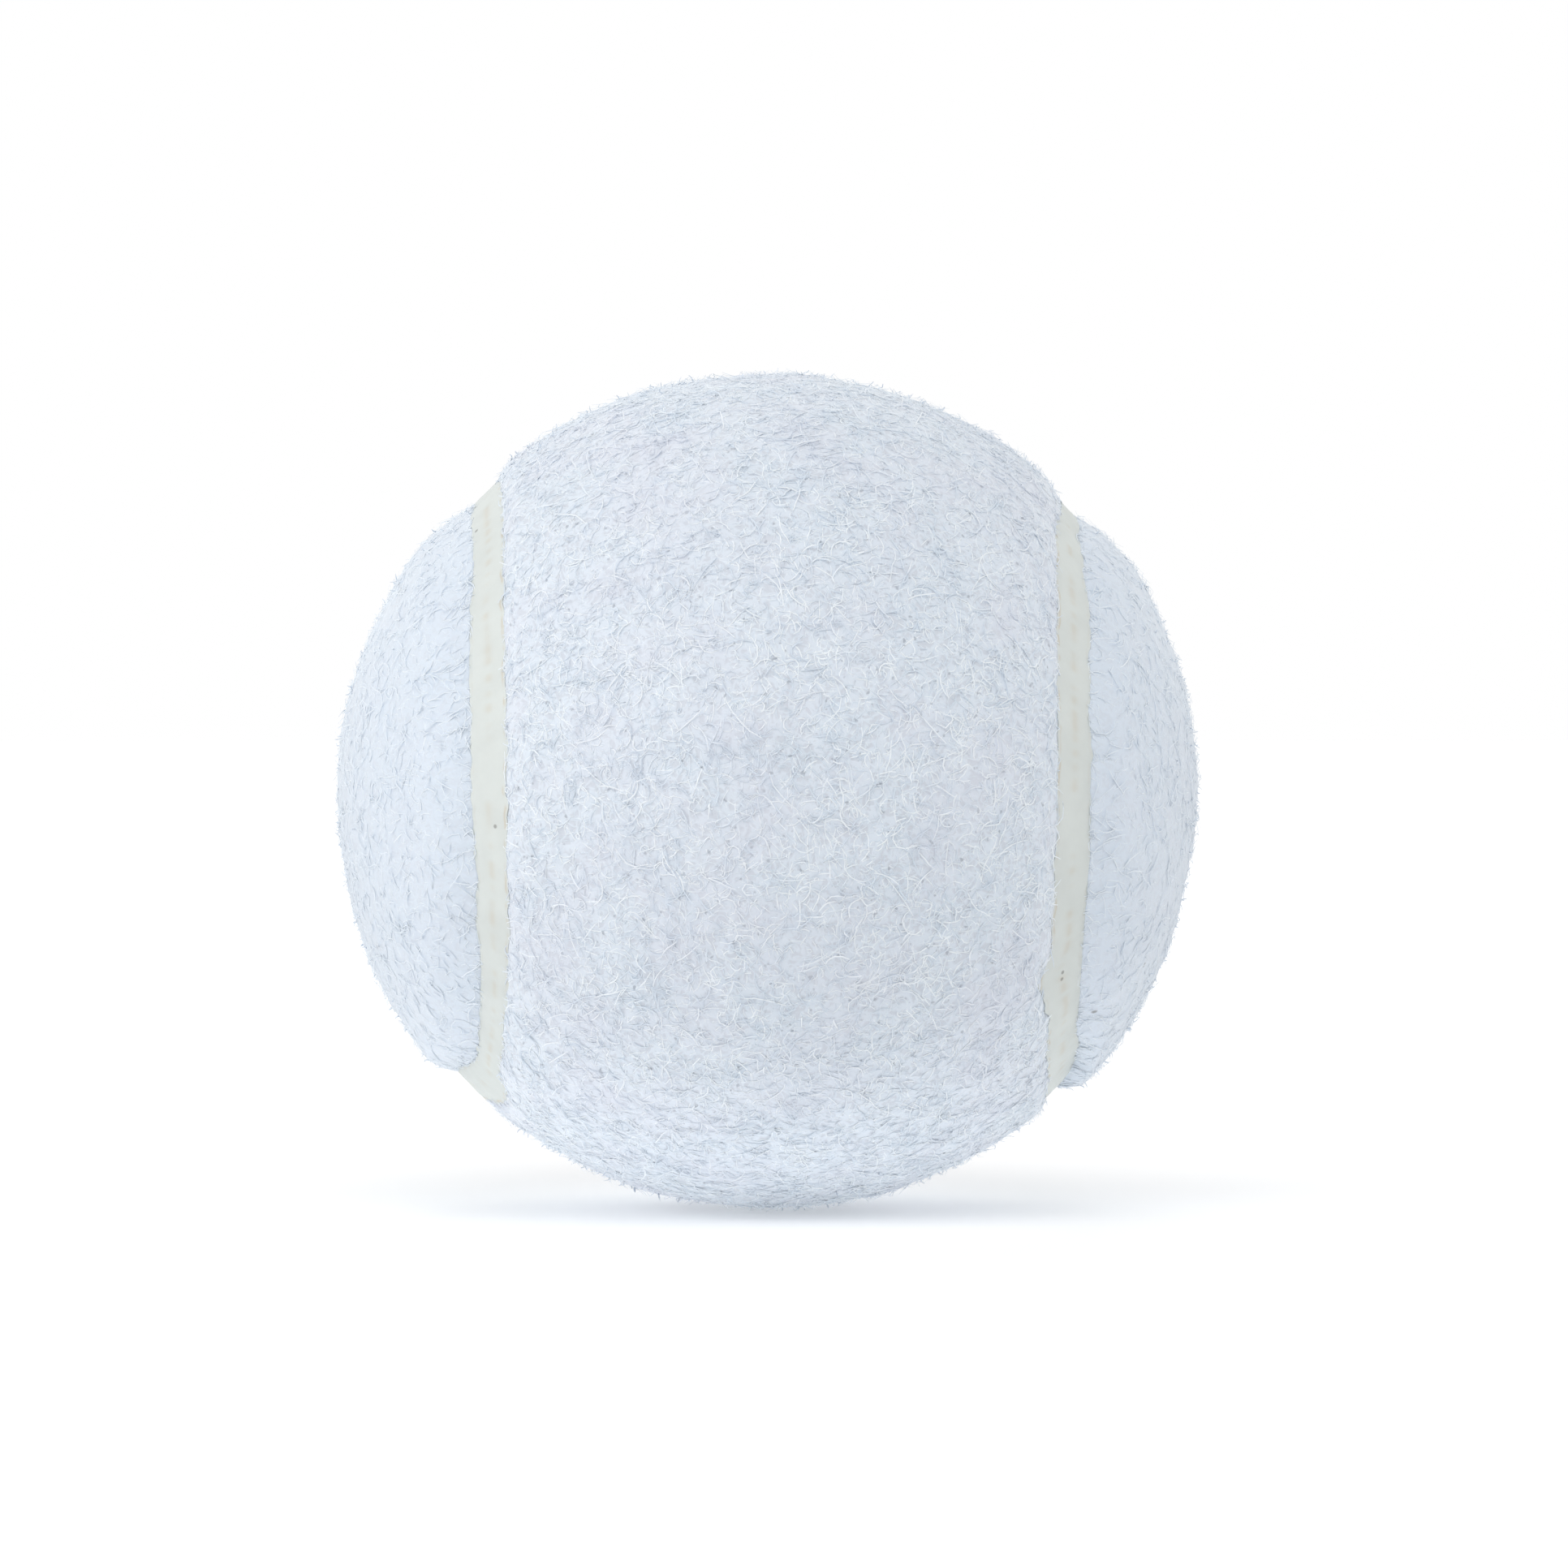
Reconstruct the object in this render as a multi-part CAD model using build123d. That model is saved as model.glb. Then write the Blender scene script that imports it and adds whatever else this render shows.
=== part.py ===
from build123d import *
import os
from math import cos, pi, sin, sqrt

# A tennis ball: a hollow rubber core in two halves, under two felt panels that meet along one wavy seam.
# Millimetres, +Z up, origin at the middle of the ball.
# The front panel's waist faces -Y, and its round ends are the top and the bottom of the ball.
# The side panel's waist faces +Y, and its round ends are the left and the right of the ball.

# Sizes of the core
core_radius = 29.7
core_wall = 3.4
core_joint_thickness = 0.3
core_joint_bead = 0.9

# Thickness of the layers between the core and the nap
core_coat_thickness = 0.15
back_coat_thickness = 0.15
base_cloth_thickness = 0.8

# Sizes of the nap, which stands higher on the side panel
front_nap_height = 1.8
side_nap_height = 2.65
front_nap_edge_round = 1.4
side_nap_edge_round = 1.8

# Sizes of the seam, with its width and the panels' waist measured on the core's coat
seam_width = 3.4
seam_height = 1.95
seam_line_round = 0.3
waist_width = 40.8

# A rounded edge takes at most this share of the wall that it rounds
edge_round_limit_share = 0.8

# The faces that cut the layers run past them by this much
cut_overrun = 1.0

# The seam's curve is made of this many spans, each through this many steps
seam_spans = 8
span_steps = 6

# Radii of the layers, each seated on the one below
core_inside = core_radius - core_wall
coat_radius = core_radius + core_coat_thickness
back_coat_radius = coat_radius + back_coat_thickness
cloth_radius = back_coat_radius + base_cloth_thickness
front_radius = cloth_radius + front_nap_height
side_radius = cloth_radius + side_nap_height
seam_radius = coat_radius + seam_height

# The seam's mid-line is four like arcs, each half round one of the panels' round ends.
# On a ball of radius 1, an arc is this far from the middle of the panel at its waist and at its ends
half_waist_share = waist_width / (2 * coat_radius)
arc_end_share = sqrt(1 / 2)
waist_draw_share = arc_end_share - half_waist_share

# The layers have their poles at the round ends of the front panel, clear of the seam
pole_turn = Rotation(0, 0, -90)


def right_arc(turn):
    """Unit direction to the right-hand arc, and the way it runs, between turns of -pi / 2 and pi / 2."""
    x = arc_end_share - waist_draw_share * cos(turn) ** 2
    x_slope = waist_draw_share * sin(2 * turn)
    ring = sqrt(1 - x**2)
    ring_slope = -x * x_slope / ring
    y_slope = ring * sin(turn) - ring_slope * cos(turn)
    z_slope = ring * cos(turn) + ring_slope * sin(turn)
    return Vector(x, -ring * cos(turn), ring * sin(turn)), Vector(x_slope, y_slope, z_slope)


def on_arc(vector, number):
    """A vector of the right-hand arc as it lies on one of the four arcs: right, top, left, bottom."""
    x, y, z = vector.X, vector.Y, vector.Z
    return [Vector(x, y, z), Vector(-z, -y, x), Vector(-x, y, -z), Vector(z, -y, -x)][number % 4]


def seam_direction(t):
    """Unit direction from the middle of the ball to the seam's mid-line."""
    number = round(2 * t / pi)
    return on_arc(right_arc(2 * t - number * pi)[0], number)


def seam_heading(t):
    """Unit direction along the seam's mid-line."""
    number = round(2 * t / pi)
    return on_arc(right_arc(2 * t - number * pi)[1], number).normalized()


def beside_seam(t, offset):
    """Unit direction to a point beside the mid-line, offset towards the side panel."""
    angle = offset / coat_radius
    across = seam_heading(t).cross(seam_direction(t))
    return seam_direction(t) * cos(angle) + across * sin(angle)


def seam_span(number, offset, radius):
    """One span of the curve that runs beside the mid-line on a ball of the radius."""
    span = 2 * pi / seam_spans
    turns = [span * (number + step / span_steps) for step in range(span_steps + 1)]
    points = [beside_seam(t, offset) * radius for t in turns]
    return Spline(points, tangents=[seam_heading(turns[0]), seam_heading(turns[-1])]).edge()


def cutting_wall(offset):
    """Wall of lines from the middle of the ball, through every layer, all along the seam."""
    low = core_radius - cut_overrun
    high = max(front_radius, side_radius, seam_radius) + cut_overrun
    spans = range(seam_spans)
    return Shell(
        [Face.make_surface_from_curves(seam_span(i, offset, low), seam_span(i, offset, high)) for i in spans]
    )


def layer(outer_radius, inner_radius):
    """Layer of even thickness all round the ball."""
    return (pole_turn * (Sphere(outer_radius) - Sphere(inner_radius))).solid()


def cut_layer(solid, wall):
    """The two pieces that a cutting wall makes of a layer, the front one first."""
    return solid.split(wall, keep=Keep.ALL).solids().sort_by(Axis.Y)


def rounded(piece, wall, top, bottom, size):
    """The piece, from the bottom radius to the top one, with the edge of its top rounded along a wall."""
    rim_floor = (3 * top + bottom) / 4
    rim_reach = seam_width / 4
    rim = [
        edge
        for edge in piece.edges()
        if (edge @ 0.5).length > rim_floor and wall.distance_to(edge @ 0.5) < rim_reach
    ]
    return piece.fillet(min(size, edge_round_limit_share * (top - bottom)), rim)


def core_halves():
    """Lower and upper half of the core, clear of the cement between them."""
    joint = Box(2 * core_radius, 2 * core_radius, core_joint_thickness)
    return (layer(core_radius, core_inside) - joint).solids().sort_by(Axis.Z)


def core_joint():
    """Cement between the two halves, with the round bead that it leaves on the inside."""
    slab = Box(2 * core_radius, 2 * core_radius, core_joint_thickness)
    ring = layer(core_radius, core_inside) & slab
    bead = Torus(core_inside, core_joint_bead) & Sphere(core_inside)
    return ring + bead


def write(name, piece):
    """Writes a piece to the file of its name."""
    export_step(piece, os.path.join("parts", name + ".step"))


os.makedirs("parts", exist_ok=True)

front_edge = cutting_wall(-seam_width / 2)
mid_line = cutting_wall(0)
side_edge = cutting_wall(seam_width / 2)

# The core and the cement all over it
core_half_lower, core_half_upper = core_halves()
write("core_half_lower", core_half_lower)
write("core_half_upper", core_half_upper)
write("core_joint", core_joint())
write("core_coat", layer(coat_radius, core_radius))

# The rubber coat on the back of each panel
back_coat = layer(back_coat_radius, coat_radius)
write("front_back_coat", cut_layer(back_coat, front_edge)[0])
write("side_back_coat", cut_layer(back_coat, side_edge)[-1])

# The woven base of each panel
base_cloth = layer(cloth_radius, back_coat_radius)
write("front_base_cloth", cut_layer(base_cloth, front_edge)[0])
write("side_base_cloth", cut_layer(base_cloth, side_edge)[-1])

# The nap of each panel, rounded over the seam
front_nap = cut_layer(layer(front_radius, cloth_radius), front_edge)[0]
side_nap = cut_layer(layer(side_radius, cloth_radius), side_edge)[-1]
write("front_nap", rounded(front_nap, front_edge, front_radius, cloth_radius, front_nap_edge_round))
write("side_nap", rounded(side_nap, side_edge, side_radius, cloth_radius, side_nap_edge_round))

# The edge rubber of each panel, which meets the other's along the seam's mid-line
seam_front, seam_side = cut_layer(layer(seam_radius, coat_radius), mid_line)
front_strip = cut_layer(seam_front, front_edge)[-1]
side_strip = cut_layer(seam_side, side_edge)[0]
write("front_seam_strip", rounded(front_strip, mid_line, seam_radius, coat_radius, seam_line_round))
write("side_seam_strip", rounded(side_strip, mid_line, seam_radius, coat_radius, seam_line_round))
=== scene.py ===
import math

import bpy
import numpy as np
from bpy.props import FloatProperty, FloatVectorProperty, IntProperty, PointerProperty
from bpy.types import Operator, Panel, PropertyGroup
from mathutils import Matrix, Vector


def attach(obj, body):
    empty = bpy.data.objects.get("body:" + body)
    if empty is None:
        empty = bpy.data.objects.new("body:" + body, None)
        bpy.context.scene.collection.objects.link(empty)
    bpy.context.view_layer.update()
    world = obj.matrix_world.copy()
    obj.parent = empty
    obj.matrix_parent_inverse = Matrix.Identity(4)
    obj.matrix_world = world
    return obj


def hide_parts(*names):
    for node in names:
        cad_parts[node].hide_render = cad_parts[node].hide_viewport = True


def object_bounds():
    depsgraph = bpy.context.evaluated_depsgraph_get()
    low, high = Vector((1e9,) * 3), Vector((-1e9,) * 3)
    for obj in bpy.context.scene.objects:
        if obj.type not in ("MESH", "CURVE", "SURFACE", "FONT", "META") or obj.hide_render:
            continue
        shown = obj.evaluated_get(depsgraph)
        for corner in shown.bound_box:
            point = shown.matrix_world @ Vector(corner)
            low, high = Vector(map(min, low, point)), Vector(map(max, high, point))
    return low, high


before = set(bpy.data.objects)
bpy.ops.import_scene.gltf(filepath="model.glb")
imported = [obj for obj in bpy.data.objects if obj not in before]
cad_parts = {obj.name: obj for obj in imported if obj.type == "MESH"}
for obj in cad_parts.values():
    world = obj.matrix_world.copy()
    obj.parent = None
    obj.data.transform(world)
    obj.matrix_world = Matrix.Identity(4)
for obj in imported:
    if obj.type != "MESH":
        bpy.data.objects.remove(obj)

bl_info = {
    "name": "Felt tennis ball",
    "version": (1, 0, 0),
    "blender": (4, 5, 0),
    "location": "3D View > Sidebar > Ball",
    "description": "Dresses the packed ball with felt, loose fibres, a rubber seam and a studio",
    "category": "Object",
}

MM = 0.001
CAD_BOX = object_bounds()
BODY = "root"


def reach_of(node):
    """Largest distance of a CAD node's surface from the middle of the ball."""
    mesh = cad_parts[node].data
    points = np.empty(3 * len(mesh.vertices), np.float32)
    mesh.vertices.foreach_get("co", points)
    return float(np.linalg.norm(points.reshape(-1, 3), axis=1).max())


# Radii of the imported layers
COAT_RADIUS = reach_of("core_coat")
CLOTH_RADIUS = reach_of("front_base_cloth")
SEAM_RADIUS = reach_of("front_seam_strip")
NAP_RADIUS = {"front": reach_of("front_nap"), "side": reach_of("side_nap")}

# Which way each panel lies from the seam's mid-line, how far its fibres stand clear, how far their shades
# differ, the painted shade in pits and gaps and the painted light on higher fibres included, and the middle
# of its waist
SIDE_SIGN = {"front": -1.0, "side": 1.0}
RELIEF = {"front": 0.5, "side": 0.3}
CONTRAST = {"front": 1.6, "side": 0.4}
WAIST_POLE = {"front": np.array([0.0, -1.0, 0.0]), "side": np.array([0.0, 1.0, 0.0])}

# Places where a felt edge leaves its even line: panel, degrees along the seam from and to, degrees over which
# it turns off, and millimetres towards the side panel
EDGE_MARKS = (
    ("side", 128.0, 160.0, 6.0, -0.95),
    ("side", 128.0, 139.0, 3.0, -0.5),
    ("side", 184.0, 215.5, 4.0, -0.65),
    ("side", 195.0, 215.5, 2.0, -0.85),
    ("front", 128.0, 156.0, 5.0, -0.65),
    ("front", 124.0, 137.0, 3.0, 0.45),
    ("front", 189.0, 211.0, 4.0, -0.5),
    ("front", 212.5, 220.0, 1.5, -1.1),
    ("front", 222.0, 232.0, 2.0, 0.4),
    ("front", -6.0, 40.0, 6.0, 0.55),
    ("front", 33.0, 55.0, 4.0, 0.85),
    ("front", 35.0, 55.0, 3.0, 0.6),
    ("front", -18.4, -15.9, 0.7, -0.7),
    ("front", -21.0, -15.6, 0.9, -0.6),
    ("front", -30.0, -22.0, 2.0, -0.25),
    ("side", -8.0, 24.0, 5.0, 0.6),
    ("side", -36.0, -16.0, 3.0, -0.3),
    ("side", -56.0, -40.0, 2.5, -2.0),
)

# Places where the rubber stands higher: degrees along the seam, spread in degrees and height in millimetres
SEAM_LIFTS = ((225.0, 6.0, 0.6), (315.0, 5.0, 0.4), (45.0, 6.0, 0.15))

# The side panel's shoulder where the seam turns at the lower left, and how far its edge is drawn in at the
# lower right
LOWER_LEFT_SHOULDER = 2.2 * MM
LOWER_RIGHT_DRAW = 1.9 * MM

# Waves in the nap: length, and height as a share of the lump height
LUMP_WAVES = ((14 * MM, 0.9), (5 * MM, 0.55), (1.8 * MM, 0.4))

# Specks of dirt on the seam: degrees along it, millimetres towards the side panel and radius in millimetres
SEAM_SPECKS = ((148.3, 0.35, 0.22), (182.7, -0.7, 0.2), (-17.5, -0.5, 0.2), (-18.2, -0.6, 0.2))

# Specks of dirt on the felt: direction from the middle of the ball and radius in millimetres
FELT_SPECKS = (((28.3, -11.7, -13.1), 0.25), ((24.8, -14.2, -16.9), 0.25))
SPECK_COLOUR = (0.2, 0.19, 0.18)


class BALL_PG_seam(PropertyGroup):
    """Sizes and colours of the rubber seam."""

    waist_width: FloatProperty(
        name="Waist width",
        description="Width of a panel's waist between mid-lines of the seam, on the core's coat",
        default=40.8 * MM,
        unit="LENGTH",
    )
    width: FloatProperty(
        name="Width",
        description="Width of the rubber between the two felt edges, on the core's coat",
        default=3.4 * MM,
        unit="LENGTH",
    )
    wander: FloatProperty(
        name="Wander",
        description="How far a felt edge strays from its even line",
        default=0.1 * MM,
        unit="LENGTH",
    )
    crease_depth: FloatProperty(
        name="Crease depth",
        description="Depth of the line where the edge rubber of the two panels meets",
        default=0.03 * MM,
        unit="LENGTH",
    )
    rubber: FloatVectorProperty(
        name="Rubber",
        description="Main colour of the rubber",
        default=(0.665, 0.70, 0.68),
        subtype="COLOR",
    )
    stain: FloatVectorProperty(
        name="Stain",
        description="Colour of the cement that shows along the felt and the crease",
        default=(0.60, 0.52, 0.40),
        subtype="COLOR",
    )


class BALL_PG_felt(PropertyGroup):
    """Sizes and colours of the felt under the loose fibres."""

    front_shoulder: FloatProperty(
        name="Front shoulder",
        description="Width over which the front panel's nap rounds down to the seam",
        default=2.8 * MM,
        unit="LENGTH",
    )
    side_shoulder: FloatProperty(
        name="Side shoulder",
        description="Width over which the side panel's nap rounds down to the seam",
        default=3.6 * MM,
        unit="LENGTH",
    )
    upper_shoulder: FloatProperty(
        name="Upper shoulder",
        description="Width of the side panel's shoulder where the seam turns at the top of the ball",
        default=6.5 * MM,
        unit="LENGTH",
    )
    steep_shoulder: FloatProperty(
        name="Steep shoulder",
        description="Width of both shoulders where the seam turns at the lower right of the ball",
        default=1.5 * MM,
        unit="LENGTH",
    )
    fuzz: FloatProperty(
        name="Fuzz",
        description="Height of the loose fibres over the matted felt",
        default=0.14 * MM,
        unit="LENGTH",
    )
    overhang: FloatProperty(
        name="Overhang",
        description="How far the nap bulges over the seam",
        default=0.03 * MM,
        unit="LENGTH",
    )
    lump_height: FloatProperty(
        name="Lump height",
        description="How far the nap rises and falls",
        default=0.07 * MM,
        unit="LENGTH",
    )
    sink: FloatProperty(
        name="Sink",
        description="How far the matted felt lies under the outline of the loose fibres",
        default=0.045 * MM,
        unit="LENGTH",
    )
    pale: FloatVectorProperty(
        name="Pale felt",
        description="Lighter colour of the matted felt",
        default=(0.748, 0.813, 0.892),
        subtype="COLOR",
    )
    side_pale: FloatVectorProperty(
        name="Pale side felt",
        description="Lighter colour of the matted felt on the side panel",
        default=(0.714, 0.787, 0.876),
        subtype="COLOR",
    )
    # Painted shade in the gaps between the strands of the matted felt
    deep: FloatVectorProperty(
        name="Deep felt",
        description="Colour between the strands of the matted felt",
        default=(0.67, 0.715, 0.785),
        subtype="COLOR",
    )
    # Painted shade in the small pits of the felt
    pit_shade: FloatVectorProperty(
        name="Pit",
        description="Colour in the small pits of the felt",
        default=(0.42, 0.46, 0.52),
        subtype="COLOR",
    )
    lilac: FloatVectorProperty(
        name="Lilac",
        description="Faint cast over parts of the felt",
        default=(0.75, 0.76, 0.85),
        subtype="COLOR",
    )


class BALL_PG_fibres(PropertyGroup):
    """Numbers, sizes and colours of the loose fibres."""

    count: IntProperty(
        name="Count", description="Fibres on the whole ball", default=86000, min=1000
    )
    length: FloatProperty(
        name="Length", description="Mean length of a fibre", default=1.8 * MM, unit="LENGTH"
    )
    thickness: FloatProperty(
        name="Thickness", description="Mean thickness of a fibre", default=0.115 * MM, unit="LENGTH"
    )
    loose_height: FloatProperty(
        name="Loose height",
        description="How high a loose end stands off the nap",
        default=0.32 * MM,
        unit="LENGTH",
    )
    cool: FloatVectorProperty(
        name="Cool fibre",
        description="Deeper bluish white of a fibre",
        default=(0.707, 0.783, 0.867),
        subtype="COLOR",
    )
    light: FloatVectorProperty(
        name="Pale fibre",
        description="Palest white of a fibre",
        default=(0.9, 0.947, 0.985),
        subtype="COLOR",
    )


class BALL_PG_stage(PropertyGroup):
    """Camera, floor and light."""

    camera_distance: FloatProperty(
        name="Camera distance",
        description="From the camera to the middle of the ball",
        default=0.62,
        unit="LENGTH",
    )
    camera_turn: FloatProperty(
        name="Camera turn",
        description="How far the camera stands to the left of the front panel's waist",
        default=math.radians(2.2),
        subtype="ANGLE",
    )
    camera_rise: FloatProperty(
        name="Camera rise",
        description="How far the camera stands above the middle of the ball",
        default=math.radians(1.0),
        subtype="ANGLE",
    )
    ambient: FloatProperty(
        name="Ambient", description="Strength of the light from all round", default=0.5, min=0.0
    )
    floor: FloatVectorProperty(
        name="Floor", description="Colour of the floor", default=(0.94, 0.94, 0.94), subtype="COLOR"
    )


# The seam's curve


def on_arc(vectors, arc):
    """Vectors of the right-hand arc as they lie on one of the four arcs: right, top, left, bottom."""
    x, y, z = np.moveaxis(vectors, -1, 0)
    arc = arc.astype(int) % 4
    turned = ([x, -z, -x, z], [y, -y, y, -y], [z, x, -z, -x])
    return np.stack([np.choose(arc, choices) for choices in turned], axis=-1)


def seam_frame(t):
    """Unit directions to the seam's mid-line and across it, towards the side panel."""
    ends = math.sqrt(0.5)
    draw = ends - bpy.context.scene.ball_seam.waist_width / (2 * COAT_RADIUS)
    arc = np.round(2 * t / np.pi)
    turn = 2 * t - arc * np.pi
    x, x_slope = ends - draw * np.cos(turn) ** 2, draw * np.sin(2 * turn)
    ring = np.sqrt(1 - x**2)
    ring_slope = -x * x_slope / ring
    y_slope = ring * np.sin(turn) - ring_slope * np.cos(turn)
    z_slope = ring * np.cos(turn) + ring_slope * np.sin(turn)
    out = on_arc(np.stack([x, -ring * np.cos(turn), ring * np.sin(turn)], axis=-1), arc)
    along = on_arc(np.stack([x_slope, y_slope, z_slope], axis=-1), arc)
    along /= np.linalg.norm(along, axis=-1, keepdims=True)
    return out, np.cross(along, out)


def beside_seam(t, offset):
    """Unit directions to points beside the mid-line, offset towards the side panel."""
    out, across = seam_frame(t)
    angle = np.broadcast_to(offset / COAT_RADIUS, t.shape)[:, None]
    return out * np.cos(angle) + across * np.sin(angle)


def ripple(t, lowest, highest, seed):
    """Smooth wandering line of mean square 1 along the seam, with whole waves between two counts."""
    rng = np.random.default_rng(seed)
    waves = np.arange(lowest, highest + 1)
    size = rng.normal(size=len(waves)) / np.sqrt(waves)
    phase = rng.uniform(0, 2 * np.pi, len(waves))
    line = (size * np.cos(np.multiply.outer(t, waves) + phase)).sum(-1)
    return line / math.sqrt((size**2).sum() / 2)


def degrees_from(place, t):
    """Degrees along the seam from a place, between -180 and 180."""
    return (np.degrees(t) - place + 180.0) % 360.0 - 180.0


def marks(t, panel):
    """Listed shifts of a panel's felt edge along the seam, towards the side panel."""
    line = np.zeros_like(t)
    for name, start, end, turn, shift in EDGE_MARKS:
        if name == panel:
            middle, reach = (start + end) / 2, (end - start) / 2
            away = degrees_from(middle, t)
            line = line + 0.5 * shift * MM * (np.tanh((away + reach) / turn) - np.tanh((away - reach) / turn))
    return line


def edge_line(t, panel):
    """Offset of a panel's felt edge from the mid-line, along the seam."""
    seam = bpy.context.scene.ball_seam
    seed = 11 if panel == "front" else 12
    stray = seam.wander * (0.6 * ripple(t, 3, 22, seed) + 0.7 * ripple(t, 40, 220, seed + 50))
    return SIDE_SIGN[panel] * (seam.width / 2 + stray) + marks(t, panel)


def seam_level(t):
    """Radius of the rubber along the seam."""
    level = np.full_like(t, SEAM_RADIUS)
    for place, spread, height in SEAM_LIFTS:
        level += height * MM * np.exp(-0.5 * (degrees_from(place, t) / spread) ** 2)
    return level


def nearest_seam(directions):
    """Place along the seam that is nearest to each direction, and the offset from it."""
    grid = np.linspace(0, 2 * np.pi, 1440, endpoint=False)
    line = seam_frame(grid)[0]
    best = np.concatenate([np.argmax(part @ line.T, axis=1) for part in np.array_split(directions, 40)])
    t = grid[best]
    step = grid[1] - grid[0]
    before = ((directions - seam_frame(t - step)[0]) ** 2).sum(-1)
    here = ((directions - seam_frame(t)[0]) ** 2).sum(-1)
    after = ((directions - seam_frame(t + step)[0]) ** 2).sum(-1)
    t = t + step * 0.5 * (before - after) / (before - 2 * here + after)
    out, across = seam_frame(t)
    return t, np.arctan2((directions * across).sum(-1), (directions * out).sum(-1)) * COAT_RADIUS


# The surface of the nap


def swell(directions, length, seed):
    """Smooth random field of mean square 1 over the ball, with waves of about a length."""
    rng = np.random.default_rng(seed)
    count = 48
    way = rng.normal(size=(count, 3))
    way *= (2 * np.pi / length * rng.uniform(0.7, 1.3, count) / np.linalg.norm(way, axis=1))[:, None]
    phase = rng.uniform(0, 2 * np.pi, count)
    field = np.concatenate(
        [np.cos(part @ way.T + phase).sum(1) for part in np.array_split(directions * CLOTH_RADIUS, 16)]
    )
    return field / math.sqrt(count / 2)


def lumps(directions, panel):
    """Rise and fall of the nap, which is also worn unevenly."""
    height = bpy.context.scene.ball_felt.lump_height
    seed = 31 if panel == "front" else 41
    field = sum(share * swell(directions, length, seed + k) for k, (length, share) in enumerate(LUMP_WAVES))
    x, _, z = directions.T
    if panel == "front":
        # Higher on the right and lower at the round ends
        worn = 0.2 * np.maximum(x, 0.0) - 0.2 * z**16
    else:
        # Higher at the bottom than at the top, most of all on the left
        worn = (0.225 * np.tanh(4 * x) - 0.375) * z
    return height * field + worn * MM


def brink_line(t, panel):
    """Offset from the mid-line at which a panel's shoulder ends, which differs where the seam turns."""
    felt = bpy.context.scene.ball_felt
    corners = ((315.0, felt.steep_shoulder),)
    width = felt.front_shoulder
    if panel == "side":
        corners = (
            (45.0, felt.upper_shoulder),
            (135.0, felt.upper_shoulder),
            (225.0, LOWER_LEFT_SHOULDER),
            (315.0, felt.steep_shoulder - LOWER_RIGHT_DRAW),
        )
        width = felt.side_shoulder
    widths = np.full_like(t, width)
    for place, corner in corners:
        away = degrees_from(place, t)
        widths += (corner - width) * np.where(np.abs(away) < 45.0, np.cos(2 * np.radians(away)) ** 4, 0.0)
    return SIDE_SIGN[panel] * (bpy.context.scene.ball_seam.width / 2 + widths)


def shoulder_of(panel, t):
    """Width of a panel's shoulder along the seam, from its uneven edge to its even brink."""
    return SIDE_SIGN[panel] * (brink_line(t, panel) - edge_line(t, panel))


def nap_height(inset, t, directions, panel):
    """Radius of the nap's surface at a distance inside its edge."""
    felt = bpy.context.scene.ball_felt
    share = np.clip(inset / shoulder_of(panel, t), 0.0, 1.0)
    rise = 1 - (1 - share) ** 1.8
    level = seam_level(t)
    return level + (NAP_RADIUS[panel] - felt.fuzz - level + lumps(directions, panel)) * rise


# Meshes from rows of points


def ring_faces(first, second, count):
    """Quads between two closed rows of as many points."""
    i = np.arange(count)
    j = (i + 1) % count
    return np.stack([first + i, first + j, second + j, second + i], axis=1)


def halving_faces(first, second, count):
    """Triangles between a closed row and one of half as many points."""
    i = np.arange(count // 2)
    j = (i + 1) % (count // 2)
    even, odd, next_even = first + 2 * i, first + 2 * i + 1, first + (2 * i + 2) % count
    return np.concatenate(
        [
            np.stack([even, odd, second + i], axis=1),
            np.stack([odd, next_even, second + j], axis=1),
            np.stack([odd, second + j, second + i], axis=1),
        ]
    )


def fan_faces(first, centre, count):
    """Triangles between a closed row and one point."""
    i = np.arange(count)
    return np.stack([first + i, first + (i + 1) % count, np.full(count, centre)], axis=1)


def new_piece(name, points, faces, material, places=None, smooth=True):
    """Mesh object from points and arrays of faces, with the places of their corners on its map."""
    mesh = bpy.data.meshes.new(name)
    corners = np.concatenate([part.ravel() for part in faces]).astype(np.int32)
    sides = np.concatenate([np.full(len(part), part.shape[1]) for part in faces])
    starts = np.concatenate([[0], np.cumsum(sides)[:-1]]).astype(np.int32)
    mesh.vertices.add(len(points))
    mesh.vertices.foreach_set("co", np.ascontiguousarray(points, np.float32).ravel())
    mesh.loops.add(len(corners))
    mesh.loops.foreach_set("vertex_index", corners)
    mesh.polygons.add(len(starts))
    mesh.polygons.foreach_set("loop_start", starts)
    mesh.update(calc_edges=True)
    if smooth:
        mesh.shade_smooth()
    else:
        mesh.shade_flat()
    if places is not None:
        spots = np.concatenate([part.reshape(-1, 2) for part in places])
        mesh.uv_layers.new(name="OFBake").data.foreach_set("uv", spots.astype(np.float32).ravel())
    mesh.materials.append(material)
    piece = bpy.data.objects.new(name, mesh)
    bpy.context.scene.collection.objects.link(piece)
    return piece


def facing_out(points, faces, places):
    """The faces and the places of their corners, turned over if they enclose less than nothing."""
    volume = 0.0
    for part in faces:
        for k in range(1, part.shape[1] - 1):
            a, b, c = points[part[:, 0]], points[part[:, k]], points[part[:, k + 1]]
            volume += (np.cross(a, b) * c).sum()
    if volume > 0:
        return faces, places
    return [part[:, ::-1] for part in faces], [part[:, ::-1] for part in places]


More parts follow.
